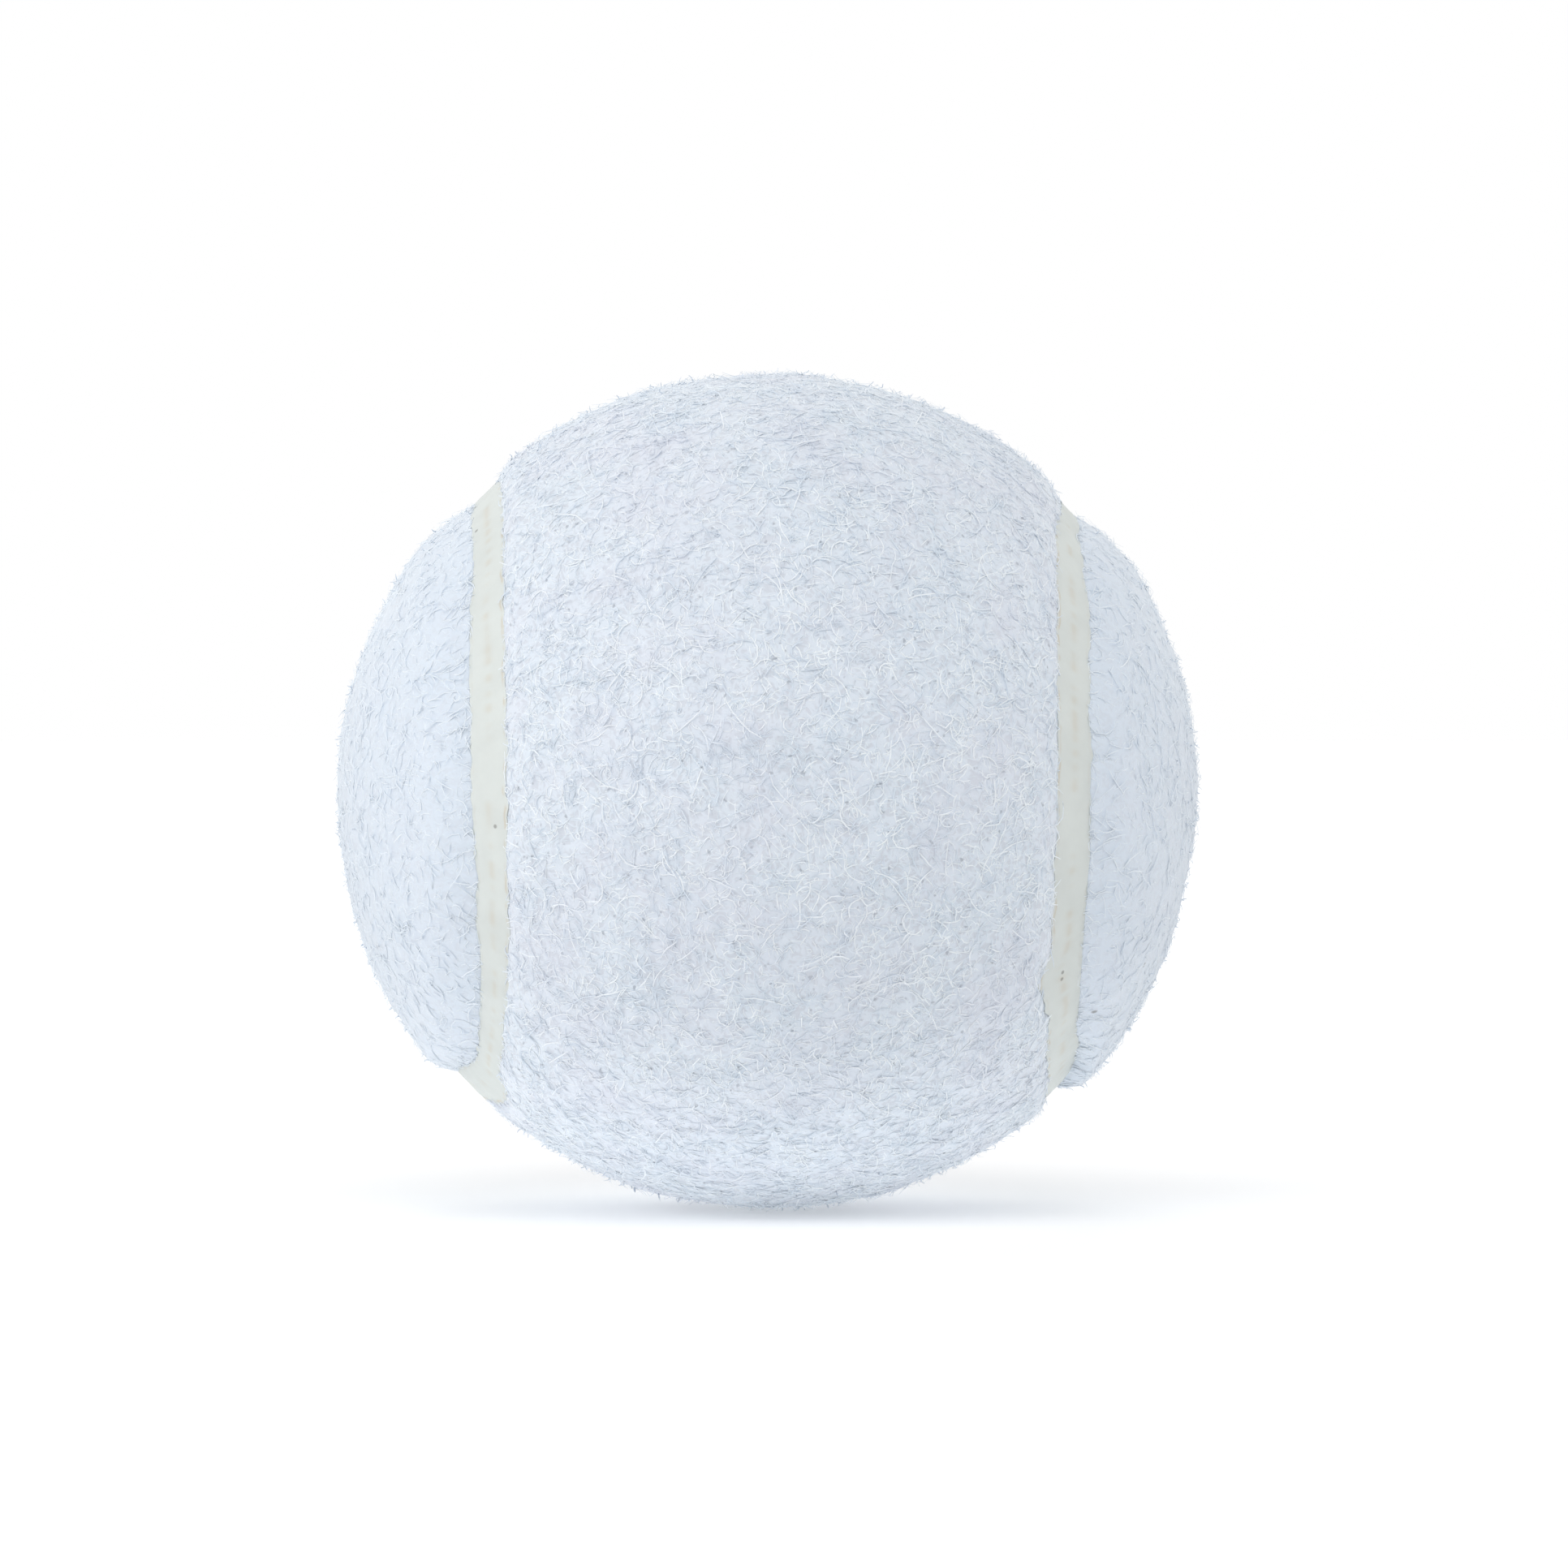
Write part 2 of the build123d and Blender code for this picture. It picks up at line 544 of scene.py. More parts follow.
class RowMesh:
    """Collects closed rows of points and the faces between them."""

    def __init__(self):
        self.points, self.faces, self.size = [], [], 0

    def add(self, row):
        """Adds a row with no faces, and returns its place."""
        start = self.size
        self.points.append(row)
        self.size += len(row)
        return start

    def join(self, row, last, count):
        """Adds a row that continues the last one, and returns its place and length."""
        start = self.add(row)
        if len(row) == 1:
            self.faces.append(fan_faces(last, start, count))
        elif len(row) == count:
            self.faces.append(ring_faces(last, start, count))
        else:
            self.faces.append(halving_faces(last, start, count))
        return start, len(row)


# Materials


def new_material(name):
    """Empty node material with a surface shader, and its nodes."""
    material = bpy.data.materials.new(name)
    material.use_nodes = True
    nodes = material.node_tree.nodes
    return material, nodes, material.node_tree.links, nodes["Principled BSDF"]


def add_noise(nodes, links, scale, detail=4.0, rough=0.6, distortion=0.0, seed=0.0):
    """Noise in the ball's own coordinates."""
    place = nodes.new("ShaderNodeTexCoord")
    noise = nodes.new("ShaderNodeTexNoise")
    noise.noise_dimensions = "4D"
    noise.inputs["W"].default_value = seed
    noise.inputs["Scale"].default_value = scale
    noise.inputs["Detail"].default_value = detail
    noise.inputs["Roughness"].default_value = rough
    noise.inputs["Distortion"].default_value = distortion
    links.new(place.outputs["Object"], noise.inputs["Vector"])
    return noise


def add_ramp(nodes, links, factor, stops):
    """Colour ramp through stops of place and colour."""
    ramp = nodes.new("ShaderNodeValToRGB")
    elements = ramp.color_ramp.elements
    while len(elements) < len(stops):
        elements.new(0.5)
    for element, (place, colour) in zip(elements, stops):
        element.position = place
        element.color = (*colour, 1.0)
    links.new(factor, ramp.inputs["Fac"])
    return ramp


def add_bump(nodes, links, height, distance, strength, shader):
    """Bump of a height field on a shader."""
    bump = nodes.new("ShaderNodeBump")
    bump.inputs["Distance"].default_value = distance
    bump.inputs["Strength"].default_value = strength
    links.new(height, bump.inputs["Height"])
    links.new(bump.outputs["Normal"], shader.inputs["Normal"])


def mixed_colour(nodes, links, factor, first, second):
    """Mix of two colours or sockets by a factor socket."""
    mix = nodes.new("ShaderNodeMix")
    mix.data_type = "RGBA"
    links.new(factor, mix.inputs["Factor"])
    for socket, value in ((mix.inputs["A"], first), (mix.inputs["B"], second)):
        if isinstance(value, bpy.types.NodeSocket):
            links.new(value, socket)
        else:
            socket.default_value = (*value, 1.0)
    return mix.outputs["Result"]


def add_maths(nodes, links, operation, first, second=None):
    """Maths on sockets or numbers."""
    node = nodes.new("ShaderNodeMath")
    node.operation = operation
    for socket, value in zip(node.inputs, (first, second)):
        if isinstance(value, bpy.types.NodeSocket):
            links.new(value, socket)
        elif value is not None:
            socket.default_value = value
    return node.outputs[0]


def add_strands(nodes, links, size, lines, seed):
    """Tangled strands, which are the level lines of a smooth noise."""
    noise = add_noise(nodes, links, 1 / size, detail=1.5, rough=0.5, distortion=0.4, seed=seed)
    return add_maths(nodes, links, "SINE", add_maths(nodes, links, "MULTIPLY", noise.outputs["Fac"], lines))


def add_range(nodes, links, value, low, high, first=0.0, last=1.0):
    """Value between two limits, spread from first to last."""
    spread = nodes.new("ShaderNodeMapRange")
    links.new(value, spread.inputs["Value"])
    for name, number in (("From Min", low), ("From Max", high), ("To Min", first), ("To Max", last)):
        spread.inputs[name].default_value = number
    return spread.outputs["Result"]


def add_specks(nodes, links, colour, specks):
    """A colour with small specks of dirt, each round a direction from the middle of the ball."""
    place = nodes.new("ShaderNodeTexCoord")
    out = nodes.new("ShaderNodeVectorMath")
    out.operation = "NORMALIZE"
    links.new(place.outputs["Object"], out.inputs[0])
    for direction, size in specks:
        away = nodes.new("ShaderNodeVectorMath")
        away.operation = "DISTANCE"
        away.inputs[1].default_value = Vector(direction).normalized()
        links.new(out.outputs["Vector"], away.inputs[0])
        reach = size * MM / SEAM_RADIUS
        share = add_range(nodes, links, away.outputs["Value"], 0.5 * reach, reach, 0.65, 0.0)
        colour = mixed_colour(nodes, links, share, colour, SPECK_COLOUR)
    return colour


def felt_shade(nodes, links, colour, panel):
    """A felt colour with tiny pits painted dark as shade and faint lilac clouds, which run through fibres and
    ground alike.
    """
    # Tiny pits painted dark as shade
    pits = add_noise(nodes, links, 1 / (0.42 * MM), detail=1.0, rough=0.4, seed=4.0)
    depth = add_range(nodes, links, pits.outputs["Fac"], 0.24, 0.33, 0.5 * CONTRAST[panel], 0.0)
    pit_shaded = mixed_colour(nodes, links, depth, colour, bpy.context.scene.ball_felt.pit_shade)
    clouds = add_noise(nodes, links, 1 / (6.0 * MM), detail=3.0, rough=0.55, seed=5.0)
    haze = add_range(nodes, links, clouds.outputs["Fac"], 0.45, 0.75, 0.0, 0.3 * CONTRAST[panel])
    hazy = mixed_colour(nodes, links, haze, pit_shaded, bpy.context.scene.ball_felt.lilac)
    return add_specks(nodes, links, hazy, FELT_SPECKS if panel == "side" else ())


def set_fuzzy(shader):
    """Soft surface of a shader, paler where it is seen at a slant."""
    shader.inputs["Roughness"].default_value = 0.9
    shader.inputs["Specular IOR Level"].default_value = 0.15
    shader.inputs["Sheen Weight"].default_value = 0.5
    shader.inputs["Sheen Roughness"].default_value = 0.5


def matted_felt_material(panel):
    """Felt under the loose fibres: tangled pale strands over gaps painted deeper as shade, plainer on the
    side panel.
    """
    felt = bpy.context.scene.ball_felt
    material, nodes, links, shader = new_material(panel + " matted felt")
    strands = add_strands(nodes, links, 1.3 * MM, 30.0, 1.0)
    for size, lines, seed in ((1.0 * MM, 22.0, 2.0), (1.7 * MM, 42.0, 3.0)):
        strands = add_maths(nodes, links, "MAXIMUM", strands, add_strands(nodes, links, size, lines, seed))
    pale = felt.pale if panel == "front" else felt.side_pale
    # The gaps between the strands are painted deeper as shade
    deep = [p + min(1.0, CONTRAST[panel]) * (d - p) for p, d in zip(pale, felt.deep)]
    ramp = add_ramp(nodes, links, strands, ((0.0, deep), (0.9, pale)))
    links.new(felt_shade(nodes, links, ramp.outputs["Color"], panel), shader.inputs["Base Color"])
    set_fuzzy(shader)
    add_bump(nodes, links, strands, 0.05 * MM, 0.6 * RELIEF[panel], shader)
    return material


def fibre_material(panel):
    """Loose fibres of one panel: each its own shade between two whites, paler as painted light where it lies
    higher.
    """
    fibres = bpy.context.scene.ball_fibres
    material, nodes, links, shader = new_material(panel + " felt fibre")
    tint = nodes.new("ShaderNodeAttribute")
    tint.attribute_name = "tint"
    own = mixed_colour(nodes, links, tint.outputs["Fac"], fibres.cool, fibres.light)
    links.new(felt_shade(nodes, links, own, panel), shader.inputs["Base Color"])
    set_fuzzy(shader)
    return material


def seam_material():
    """Cream rubber, mottled, stained and specked."""
    seam = bpy.context.scene.ball_seam
    material, nodes, links, shader = new_material("seam rubber")
    mottle = add_noise(nodes, links, 1 / (3.0 * MM), detail=5.0, rough=0.6)
    paler = tuple(min(1.0, 1.08 * c) for c in seam.rubber)
    base = add_ramp(nodes, links, mottle.outputs["Fac"], ((0.3, paler), (0.7, seam.rubber)))
    stain = nodes.new("ShaderNodeAttribute")
    stain.attribute_name = "stain"
    colour = mixed_colour(nodes, links, stain.outputs["Fac"], base.outputs["Color"], seam.stain)
    specks = [(beside_seam(np.radians([place]), offset * MM)[0], size) for place, offset, size in SEAM_SPECKS]
    links.new(add_specks(nodes, links, colour, specks), shader.inputs["Base Color"])
    shader.inputs["Roughness"].default_value = 0.6
    shader.inputs["Specular IOR Level"].default_value = 0.3
    grain = add_noise(nodes, links, 1 / (0.25 * MM), detail=4.0, rough=0.6)
    add_bump(nodes, links, grain.outputs["Fac"], 0.03 * MM, 0.5, shader)
    return material


def plain_layer_material(name, pale, deep, grain, roughness):
    """Inner layer in two shades of its colour, with a grain."""
    material, nodes, links, shader = new_material(name)
    noise = add_noise(nodes, links, 1 / grain, detail=5.0)
    ramp = add_ramp(nodes, links, noise.outputs["Fac"], ((0.35, deep), (0.65, pale)))
    links.new(ramp.outputs["Color"], shader.inputs["Base Color"])
    shader.inputs["Roughness"].default_value = roughness
    add_bump(nodes, links, noise.outputs["Fac"], 0.1 * MM, 0.4, shader)
    return material


# Pieces


def panel_map(directions, panel):
    """Place of each direction on a flat map of a panel, spread out from the middle of its waist."""
    pole = WAIST_POLE[panel]
    along = np.array([0.0, 0.0, 1.0]) if panel == "front" else np.array([1.0, 0.0, 0.0])
    angle = np.arccos(np.clip(directions @ pole, -1, 1))
    v, u = directions @ along, directions @ np.cross(along, pole)
    spread = angle / np.maximum(np.hypot(u, v), 1e-9)
    return np.stack([0.5 + u * spread / math.radians(140), 0.5 + v * spread / math.radians(280)], axis=-1)


def spokes_to(brink, pole, share):
    """Directions at a share of the way from a panel's brink to the middle of its waist."""
    between = np.arccos(np.clip(brink @ pole, -1, 1))[:, None]
    return (np.sin((1 - share) * between) * brink + np.sin(share * between) * pole) / np.sin(between)


def nap_piece(panel, material):
    """Matted felt of one panel: its wall at the seam, its shoulder, its top and its underside."""
    felt = bpy.context.scene.ball_felt
    spokes, rings, under_rings, shoulder_steps = 960, 128, 20, 12
    sign, pole = SIDE_SIGN[panel], WAIST_POLE[panel]
    t = np.linspace(0, 2 * np.pi, spokes, endpoint=False)
    edge = edge_line(t, panel)
    shoulder = shoulder_of(panel, t)
    sink = felt.sink * RELIEF[panel]
    mesh = RowMesh()

    foot = beside_seam(t, edge)
    wall_foot = mesh.add(foot * CLOTH_RADIUS)
    last, count = wall_foot, spokes
    for share in (0.5, 1.0):
        radius = CLOTH_RADIUS + share * (seam_level(t) - CLOTH_RADIUS)
        last, count = mesh.join(foot * radius[:, None], last, count)
    for step in range(1, shoulder_steps + 1):
        share = step / shoulder_steps
        inset = shoulder * share**1.4
        out = beside_seam(t, edge + sign * (inset - felt.overhang * math.sin(math.pi * share)))
        radius = nap_height(inset, t, out, panel) - sink * share
        last, count = mesh.join(out * radius[:, None], last, count)
    brink = beside_seam(t[::2], brink_line(t[::2], panel))
    for share in np.arange(1, rings) / rings:
        out = spokes_to(brink, pole, share)
        radius = NAP_RADIUS[panel] - felt.fuzz + lumps(out, panel) - sink
        last, count = mesh.join(out * radius[:, None], last, count)
    crown = NAP_RADIUS[panel] - felt.fuzz + lumps(pole[None], panel) - sink
    mesh.join(pole[None] * crown, last, count)
    tops = len(mesh.faces)

    last, count = wall_foot, spokes
    for share in np.arange(1, under_rings) / under_rings:
        last, count = mesh.join(spokes_to(foot[::2], pole, share) * CLOTH_RADIUS, last, count)
    mesh.join(pole[None] * CLOTH_RADIUS, last, count)
    mesh.faces[tops:] = [part[:, ::-1] for part in mesh.faces[tops:]]

    points = np.concatenate(mesh.points)
    flat = panel_map(points / np.linalg.norm(points, axis=1, keepdims=True), panel)
    top_map, under_map = flat * (1.0, 0.88) + (0.0, 0.12), flat * (1.0, 0.11)
    places = [(top_map if k < tops else under_map)[part] for k, part in enumerate(mesh.faces)]
    faces, places = facing_out(points, mesh.faces, places)
    return new_piece(panel + "_felt", points, faces, material, places)


def fibre_places(panel, count, rng):
    """Random places on a panel: direction, place along the seam and distance inside the felt's edge."""
    found = []
    while sum(len(part[0]) for part in found) < count:
        out = rng.normal(size=(2 * count, 3))
        out /= np.linalg.norm(out, axis=1, keepdims=True)
        t, offset = nearest_seam(out)
        inset = SIDE_SIGN[panel] * (offset - edge_line(t, panel))
        kept = inset > 0.02 * MM
        found.append((out[kept], t[kept], inset[kept]))
    return [np.concatenate(part)[:count] for part in zip(*found)]


def fibre_lines(panel, count, rng):
    """Middle lines of loose fibres on a panel: points, outward directions and tints, with painted light on
    the higher fibres.
    """
    fibres = bpy.context.scene.ball_fibres
    steps, loose_share = 6, 0.22
    out, t, inset = fibre_places(panel, count, rng)
    across = seam_frame(t)[1] * SIDE_SIGN[panel]
    across -= out * (across * out).sum(-1, keepdims=True)
    across /= np.linalg.norm(across, axis=1, keepdims=True)
    along = np.cross(out, across)
    length = fibres.length * rng.gamma(6.0, 1 / 6.0, count)
    turn = rng.normal(0.0, 2.2, count)
    heading = rng.uniform(0, 2 * np.pi, count)
    wriggle = rng.normal(0.0, 0.5, count)
    share = np.linspace(0, 1, steps)
    angle = heading[:, None] + np.multiply.outer(turn, share) + np.multiply.outer(wriggle, np.sin(5 * share))
    stride = (length / (steps - 1))[:, None]
    x = np.cumsum(stride * np.cos(angle), axis=1)
    y = np.cumsum(stride * np.sin(angle), axis=1)
    x -= x.mean(1, keepdims=True)
    y -= y.mean(1, keepdims=True)
    most = rng.uniform(0.0, 0.3, count) * MM
    x += np.maximum(0.0, -most - (inset + x.min(1)))[:, None]
    base = out * CLOTH_RADIUS
    lines = base[:, None] + x[..., None] * across[:, None] + y[..., None] * along[:, None]
    away = lines / np.linalg.norm(lines, axis=-1, keepdims=True)
    depth = (rng.uniform(0, 0.095, count) * RELIEF[panel] - 0.063) * MM
    hump = rng.uniform(0.02, 0.09, count) * RELIEF[panel] ** 0.5 * MM
    waves = np.multiply.outer(rng.uniform(2.0, 8.0, count), share) + rng.uniform(0, 2 * np.pi, count)[:, None]
    loose = (rng.random(count) < loose_share) * rng.uniform(0.2, 1.6, count) * fibres.loose_height
    lift = depth[:, None] + hump[:, None] * np.sin(waves) + np.multiply.outer(loose, share**2)
    flat = away.reshape(-1, 3)
    height = nap_height((inset[:, None] + x).ravel(), np.repeat(t, steps), flat, panel).reshape(count, steps)
    # Fibres that lie higher are painted paler and lower ones darker, as painted light and shade, besides each
    # fibre's own random shade
    height_light = (depth - depth.min()) / (depth.max() - depth.min())
    shade = 0.45 * (height_light - 0.5) + 0.45 * rng.normal(size=count) + 0.08 * swell(out, 9 * MM, 63)
    # Shades of single fibres differ most at the middle of the waist and less towards its ends
    waist_contrast = 0.7 + 0.6 * np.clip(out @ WAIST_POLE[panel], 0.0, 1.0) ** 2
    tint = np.clip(0.45 + CONTRAST[panel] * waist_contrast * shade, 0, 1)
    # Fibres at the edge lie over the rubber
    rim = 0.07 * MM * np.exp(-((np.maximum(inset[:, None] + x, 0.0) / (0.4 * MM)) ** 2))
    return away * (height + lift + rim)[..., None], away, tint


def fibre_piece(name, lines, away, thickness, tint, material):
    """One mesh of flattened three-sided fibres that taper to both ends."""
    count, steps = lines.shape[:2]
    sides, flatness = 3, 0.35
    run = np.gradient(lines, axis=1)
    run /= np.linalg.norm(run, axis=-1, keepdims=True)
    beside = np.cross(run, away)
    beside /= np.linalg.norm(beside, axis=-1, keepdims=True)
    above = np.cross(beside, run)
    taper = 0.45 + 0.55 * np.sin(np.pi * np.linspace(0.06, 0.94, steps))
    half = 0.5 * np.multiply.outer(thickness, taper)[..., None]
    rows = []
    for k in range(sides):
        turn = 2 * np.pi * k / sides + np.pi / 2
        rows.append(lines + half * (math.cos(turn) * beside + flatness * math.sin(turn) * above))
    points = np.stack(rows, axis=2).reshape(-1, 3)
    root = (np.arange(count) * steps * sides)[:, None]
    row = root[:, :, None] + (np.arange(steps - 1) * sides)[None, :, None]
    i = np.arange(sides)[None, None, :]
    j = (i + 1) % sides
    quads = np.stack([row + i, row + j, row + sides + j, row + sides + i], axis=-1).reshape(-1, 4)
    tip = root + (steps - 1) * sides
    caps = np.concatenate([root + np.array([[2, 1, 0]]), tip + np.array([[0, 1, 2]])])

    # Each fibre has a cell of the map to itself, with its sides unrolled
    cells = math.ceil(math.sqrt(count))
    cell = np.stack([np.arange(count) % cells, np.arange(count) // cells], axis=-1)
    u = 0.1 + 0.8 * (np.arange(steps - 1)[:, None, None] + np.array([0, 0, 1, 1])) / (steps - 1)
    v = 0.1 + 0.8 * (np.arange(sides)[None, :, None] + np.array([0, 1, 1, 0])) / sides
    inside = np.stack(np.broadcast_arrays(u, v), axis=-1).reshape(-1, 4, 2)
    quad_places = ((cell[:, None, None] + inside) / cells).reshape(-1, 4, 2)
    ends = [np.repeat(((cell + spot) / cells)[:, None], 3, axis=1) for spot in ((0.1, 0.5), (0.9, 0.5))]
    places = [quad_places, np.concatenate(ends)]
    piece = new_piece(name, points, [quads, caps], material, places, smooth=False)
    layer = piece.data.attributes.new("tint", "FLOAT", "POINT")
    layer.data.foreach_set("value", np.repeat(tint, steps * sides).astype(np.float32))
    return piece


def seam_piece(panel, material):
    """Edge rubber of one panel, from the crease at the mid-line to the felt."""
    seam = bpy.context.scene.ball_seam
    steps, stripes = 1440, 8
    t = np.linspace(0, 2 * np.pi, steps, endpoint=False)
    middle = 0.06 * MM * ripple(t, 3, 30, 77) + 0.5 * (marks(t, "front") + marks(t, "side"))
    edge = edge_line(t, panel)
    # Share of the way from the crease to the felt, height over the rubber's level, and stain
    glue = 0.6 if panel == "front" else 0.12
    profile = (
        (0.0, 0.0, 0.3),
        (0.07, 0.05, 0.28),
        (0.16, 0.12, 0.15),
        (0.3, 0.25, 0.04),
        (0.5, 0.35, 0.0),
        (0.7, 0.25, 0.0),
        (0.79, 0.25, 0.1 * glue),
        (0.86, 0.3, glue),
        (0.93, 0.5, 0.35 * glue),
        (1.0, 0.9, 0.2 * glue),
    )
    mesh = RowMesh()
    stains = []
    for share, rise, stain in profile:
        out = beside_seam(t, middle + share * (edge - middle))
        wave = 0.04 * MM * swell(out, 6 * MM, 91) + 0.012 * MM * swell(out, 1.5 * MM, 92)
        radius = seam_level(t) + rise * seam.crease_depth + wave
        mesh.add(out * radius[:, None])
        fine = ripple(t, 40, 300, 93 + round(share))
        coarse = ripple(t, 6, 30, 95 + round(share))
        stains.append(stain * np.clip(0.25 + 0.5 * fine + 0.4 * coarse, 0, 1))
    for share in (1.0, 0.0):
        mesh.add(beside_seam(t, middle + share * (edge - middle)) * COAT_RADIUS)
        stains.append(np.zeros(steps))

    # The map is cut into stripes along the seam
    rows = len(mesh.points)
    places = []
    step = np.arange(steps)[:, None]
    stripe_steps = steps // stripes
    u = (step % stripe_steps + np.array([0, 1, 1, 0])) / stripe_steps
    for row in range(rows):
        mesh.faces.append(ring_faces(row * steps, (row + 1) % rows * steps, steps))
        v = (step // stripe_steps + 0.02 + 0.96 * (row + np.array([0, 0, 1, 1])) / rows) / stripes
        places.append(np.stack([u, v], axis=-1))
    points = np.concatenate(mesh.points)
    faces, places = facing_out(points, mesh.faces, places)
    piece = new_piece(panel + "_seam_rubber", points, faces, material, places)
    layer = piece.data.attributes.new("stain", "FLOAT", "POINT")
    layer.data.foreach_set("value", np.concatenate(stains).astype(np.float32))
    ends = np.empty(2 * len(piece.data.edges), np.int32)
    piece.data.edges.foreach_get("vertices", ends)
    row = ends.reshape(-1, 2) // steps
    sharp = (row[:, 0] == row[:, 1]) & np.isin(row[:, 0], (0, len(profile) - 1))
    layer = piece.data.attributes.new("sharp_edge", "BOOLEAN", "EDGE")
    layer.data.foreach_set("value", sharp)
    return piece


# Operators


class BALL_OT_inner_layers(Operator):
    """Give the core, the cement and the base cloth their finish"""

    bl_idname = "ball.inner_layers"
    bl_label = "Finish inner layers"

    def execute(self, context):
        core = plain_layer_material("core rubber", (0.05, 0.048, 0.047), (0.025, 0.024, 0.024), 0.8 * MM, 0.8)
        cement = plain_layer_material("rubber cement", (0.52, 0.44, 0.29), (0.42, 0.34, 0.21), 1.5 * MM, 0.5)
        cloth = plain_layer_material("base cloth", (0.62, 0.60, 0.54), (0.50, 0.48, 0.42), 0.4 * MM, 0.95)
        finish = {
            "core_half_upper": core,
            "core_half_lower": core,
            "core_joint": cement,
            "core_coat": cement,
            "front_back_coat": cement,
            "side_back_coat": cement,
            "front_base_cloth": cloth,
            "side_base_cloth": cloth,
        }
        for node, material in finish.items():
            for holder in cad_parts[node].material_slots:
                holder.material = material
        return {"FINISHED"}


class BALL_OT_felt(Operator):
    """Make the matted felt of both panels"""

    bl_idname = "ball.felt"
    bl_label = "Make felt"

    def execute(self, context):
        for panel in ("front", "side"):
            piece = nap_piece(panel, matted_felt_material(panel))
            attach(piece, BODY)
            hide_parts(panel + "_nap")
        return {"FINISHED"}


class BALL_OT_fibres(Operator):
    """Make the loose fibres of both panels"""

    bl_idname = "ball.fibres"
    bl_label = "Make fibres"

    def execute(self, context):
        fibres = context.scene.ball_fibres
        tufts = 7
        for number, panel in enumerate(("front", "side")):
            material = fibre_material(panel)
            rng = np.random.default_rng(500 + number)
            count = fibres.count // 2
            lines, away, tint = fibre_lines(panel, count, rng)
            thickness = fibres.thickness * rng.uniform(0.65, 1.25, count)
            height = np.argsort(lines[:, 0, 2])
            for tuft, members in enumerate(np.array_split(height, tufts)):
                name = f"{panel}_fibres_{tuft + 1}"
                piece = fibre_piece(
                    name, lines[members], away[members], thickness[members], tint[members], material
                )
                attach(piece, BODY)
        return {"FINISHED"}


class BALL_OT_seam(Operator):
    """Make the edge rubber of both panels, which meets along the seam"""

    bl_idname = "ball.seam"
    bl_label = "Make seam"

    def execute(self, context):
        material = seam_material()
        for panel in ("front", "side"):
            piece = seam_piece(panel, material)
            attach(piece, BODY)
            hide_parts(panel + "_seam_strip")
        return {"FINISHED"}


class BALL_OT_stage(Operator):
    """Set the floor, the soft light and the camera"""

    bl_idname = "ball.stage"
    bl_label = "Set stage"

    def execute(self, context):
        make_floor()
        make_world()
        make_lamps()
        make_camera()
        context.scene.view_settings.view_transform = "Standard"
        return {"FINISHED"}


def make_floor():
    """Pale floor under the ball, white to the camera where no shadow falls."""
    stage = bpy.context.scene.ball_stage
    half = 3.0
    level = float(CAD_BOX[0][2])
    corners = ((-half, -half), (half, -half), (half, half), (-half, half))
    points = np.array([(x, y, level) for x, y in corners])
    material, nodes, links, shader = new_material("floor")
    shader.inputs["Base Color"].default_value = (*stage.floor, 1.0)
    shader.inputs["Roughness"].default_value = 0.9
    shader.inputs["Specular IOR Level"].default_value = 0.1
    glow = nodes.new("ShaderNodeEmission")
    path = nodes.new("ShaderNodeLightPath")
    place = nodes.new("ShaderNodeTexCoord")
    away = nodes.new("ShaderNodeVectorMath")
    away.operation = "LENGTH"
    links.new(place.outputs["Object"], away.inputs[0])
    # The lamps reach the floor round the ball, and further out the floor makes up what they leave
    lift = add_range(nodes, links, away.outputs["Value"], 0.2, 0.9, 0.16, 0.58)
    strength = add_maths(nodes, links, "MULTIPLY", path.outputs["Is Camera Ray"], lift)
    links.new(strength, glow.inputs["Strength"])
    both = nodes.new("ShaderNodeAddShader")
    links.new(shader.outputs[0], both.inputs[0])
    links.new(glow.outputs[0], both.inputs[1])
    links.new(both.outputs[0], nodes["Material Output"].inputs["Surface"])
    new_piece("floor", points, [np.array([[0, 1, 2, 3]])], material)


def make_world():
    """Even light from all round, with a white backdrop."""
    stage = bpy.context.scene.ball_stage
    world = bpy.data.worlds.new("studio")
    bpy.context.scene.world = world
    world.use_nodes = True
    nodes, links = world.node_tree.nodes, world.node_tree.links
    light = nodes["Background"]
    light.inputs["Color"].default_value = (1.0, 1.0, 1.0, 1.0)
    light.inputs["Strength"].default_value = stage.ambient
    backdrop = nodes.new("ShaderNodeBackground")
    backdrop.inputs["Color"].default_value = (1.0, 1.0, 1.0, 1.0)
    path = nodes.new("ShaderNodeLightPath")
    seen = path.outputs["Is Camera Ray"]
    for name in ("Is Glossy Ray", "Is Transmission Ray"):
        seen = add_maths(nodes, links, "MAXIMUM", seen, path.outputs[name])
    mix = nodes.new("ShaderNodeMixShader")
    links.new(seen, mix.inputs["Fac"])
    links.new(light.outputs[0], mix.inputs[1])
    links.new(backdrop.outputs[0], mix.inputs[2])
    links.new(mix.outputs[0], nodes["World Output"].inputs["Surface"])


def make_lamps():
    """Soft lamps left, right, over the camera and behind, and a faint light table under the ball."""
    table = float(CAD_BOX[0][2]) + 0.1 * MM
    # Name, place in metres, size in metres and power in watts
    lamps = (
        ("left lamp", (-0.75, -0.2, 0.15), 0.7, 2.75),
        ("right lamp", (0.8, 0.1, 0.2), 0.7, 1.2),
        ("front lamp", (0.0, -0.5, 0.65), 0.6, 2.3),
        ("back lamp", (0.0, 0.6, 0.6), 0.5, 1.4),
        ("light table", (0.0, 0.0, table), 0.065, 0.0043),
    )
    for name, place, size, power in lamps:
        lamp = bpy.data.lights.new(name, "AREA")
        lamp.size = size
        lamp.energy = power
        holder = bpy.data.objects.new(name, lamp)
        holder.location = place
        holder.rotation_euler = (-Vector(place)).to_track_quat("-Z", "Y").to_euler()
        holder.visible_camera = False
        bpy.context.scene.collection.objects.link(holder)


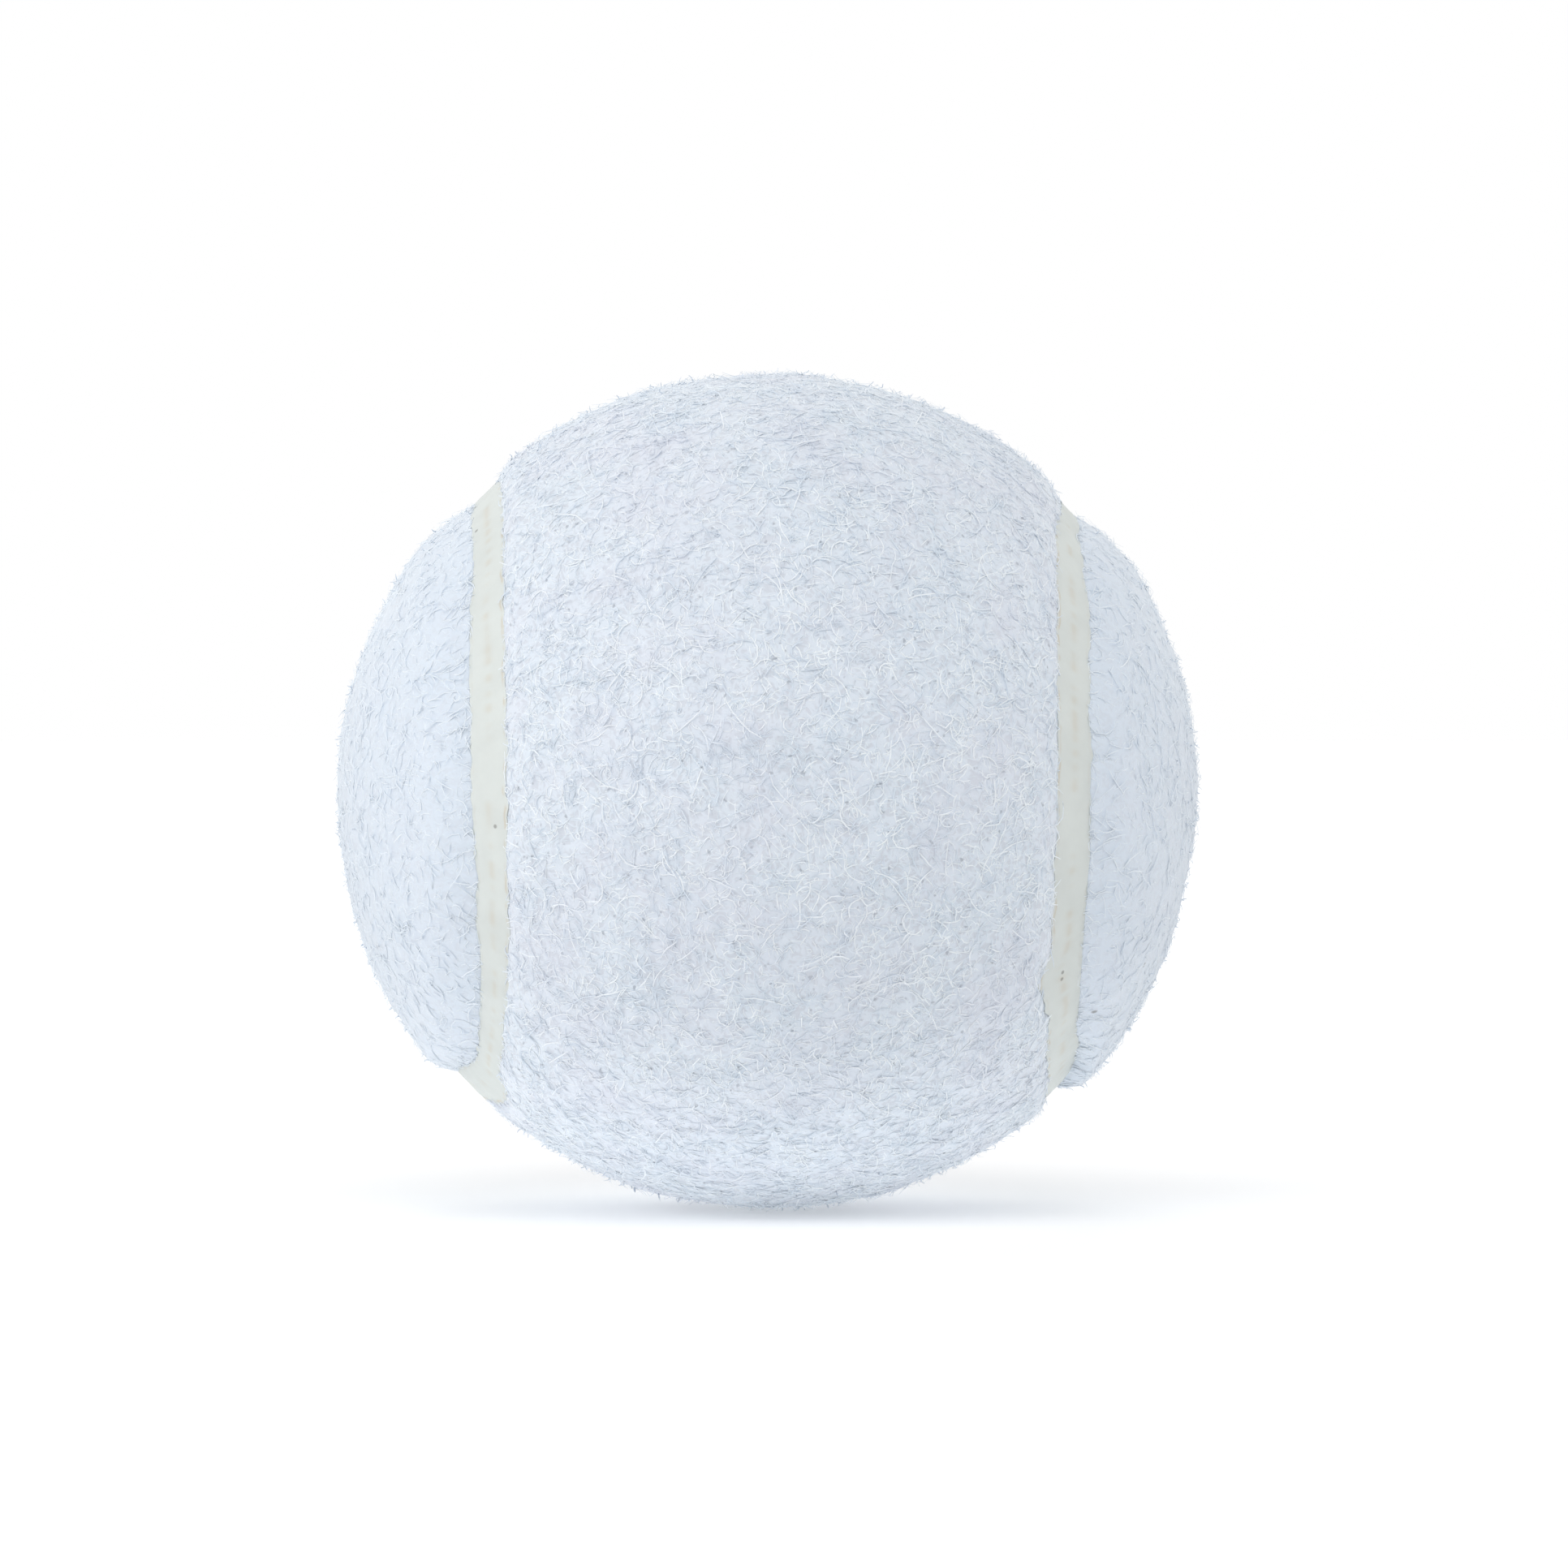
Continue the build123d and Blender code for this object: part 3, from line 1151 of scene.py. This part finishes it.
def make_camera():
    """Camera square to the front panel's waist, framed as the photograph is."""
    stage = bpy.context.scene.ball_stage
    photo_width, ball_x, ball_y, pixels_per_metre = 1932, 946, 974, 15860.0
    turn, rise, distance = stage.camera_turn, stage.camera_rise, stage.camera_distance
    back = Vector((-math.sin(turn) * math.cos(rise), -math.cos(turn) * math.cos(rise), math.sin(rise)))
    rotation = back.to_track_quat("Z", "Y")
    right, up = rotation @ Vector((1, 0, 0)), rotation @ Vector((0, 1, 0))
    middle = photo_width / 2
    aim = (right * (middle - ball_x) + up * (ball_y - middle)) / pixels_per_metre
    camera = bpy.data.cameras.new("camera")
    camera.sensor_width = 36.0
    camera.lens = camera.sensor_width * distance * pixels_per_metre / photo_width
    camera.clip_start = 0.01
    holder = bpy.data.objects.new("camera", camera)
    holder.location = aim + back * distance
    holder.rotation_euler = rotation.to_euler()
    bpy.context.scene.collection.objects.link(holder)
    bpy.context.scene.camera = holder


class BALL_PT_pieces(Panel):
    """Sizes, colours and pieces of the ball"""

    bl_idname = "BALL_PT_pieces"
    bl_label = "Felt tennis ball"
    bl_space_type = "VIEW_3D"
    bl_region_type = "UI"
    bl_category = "Ball"

    def draw(self, context):
        for name, settings in SETTINGS.items():
            box = self.layout.box()
            for field in settings.__annotations__:
                box.prop(getattr(context.scene, name), field)
        for operator in OPERATORS:
            self.layout.operator(operator.bl_idname)


SETTINGS = {
    "ball_seam": BALL_PG_seam,
    "ball_felt": BALL_PG_felt,
    "ball_fibres": BALL_PG_fibres,
    "ball_stage": BALL_PG_stage,
}
OPERATORS = (BALL_OT_inner_layers, BALL_OT_felt, BALL_OT_fibres, BALL_OT_seam, BALL_OT_stage)
CLASSES = (*SETTINGS.values(), *OPERATORS, BALL_PT_pieces)


def register():
    """Adds the classes and the scene's settings."""
    for kind in CLASSES:
        bpy.utils.register_class(kind)
    for name, settings in SETTINGS.items():
        setattr(bpy.types.Scene, name, PointerProperty(type=settings))


def unregister():
    """Takes the settings and the classes away again."""
    for name in SETTINGS:
        delattr(bpy.types.Scene, name)
    for kind in reversed(CLASSES):
        bpy.utils.unregister_class(kind)


def main():
    """Makes the pieces in order."""
    register()
    bpy.ops.ball.inner_layers()
    bpy.ops.ball.felt()
    bpy.ops.ball.fibres()
    bpy.ops.ball.seam()
    bpy.ops.ball.stage()


if __name__ == "__main__":
    main()
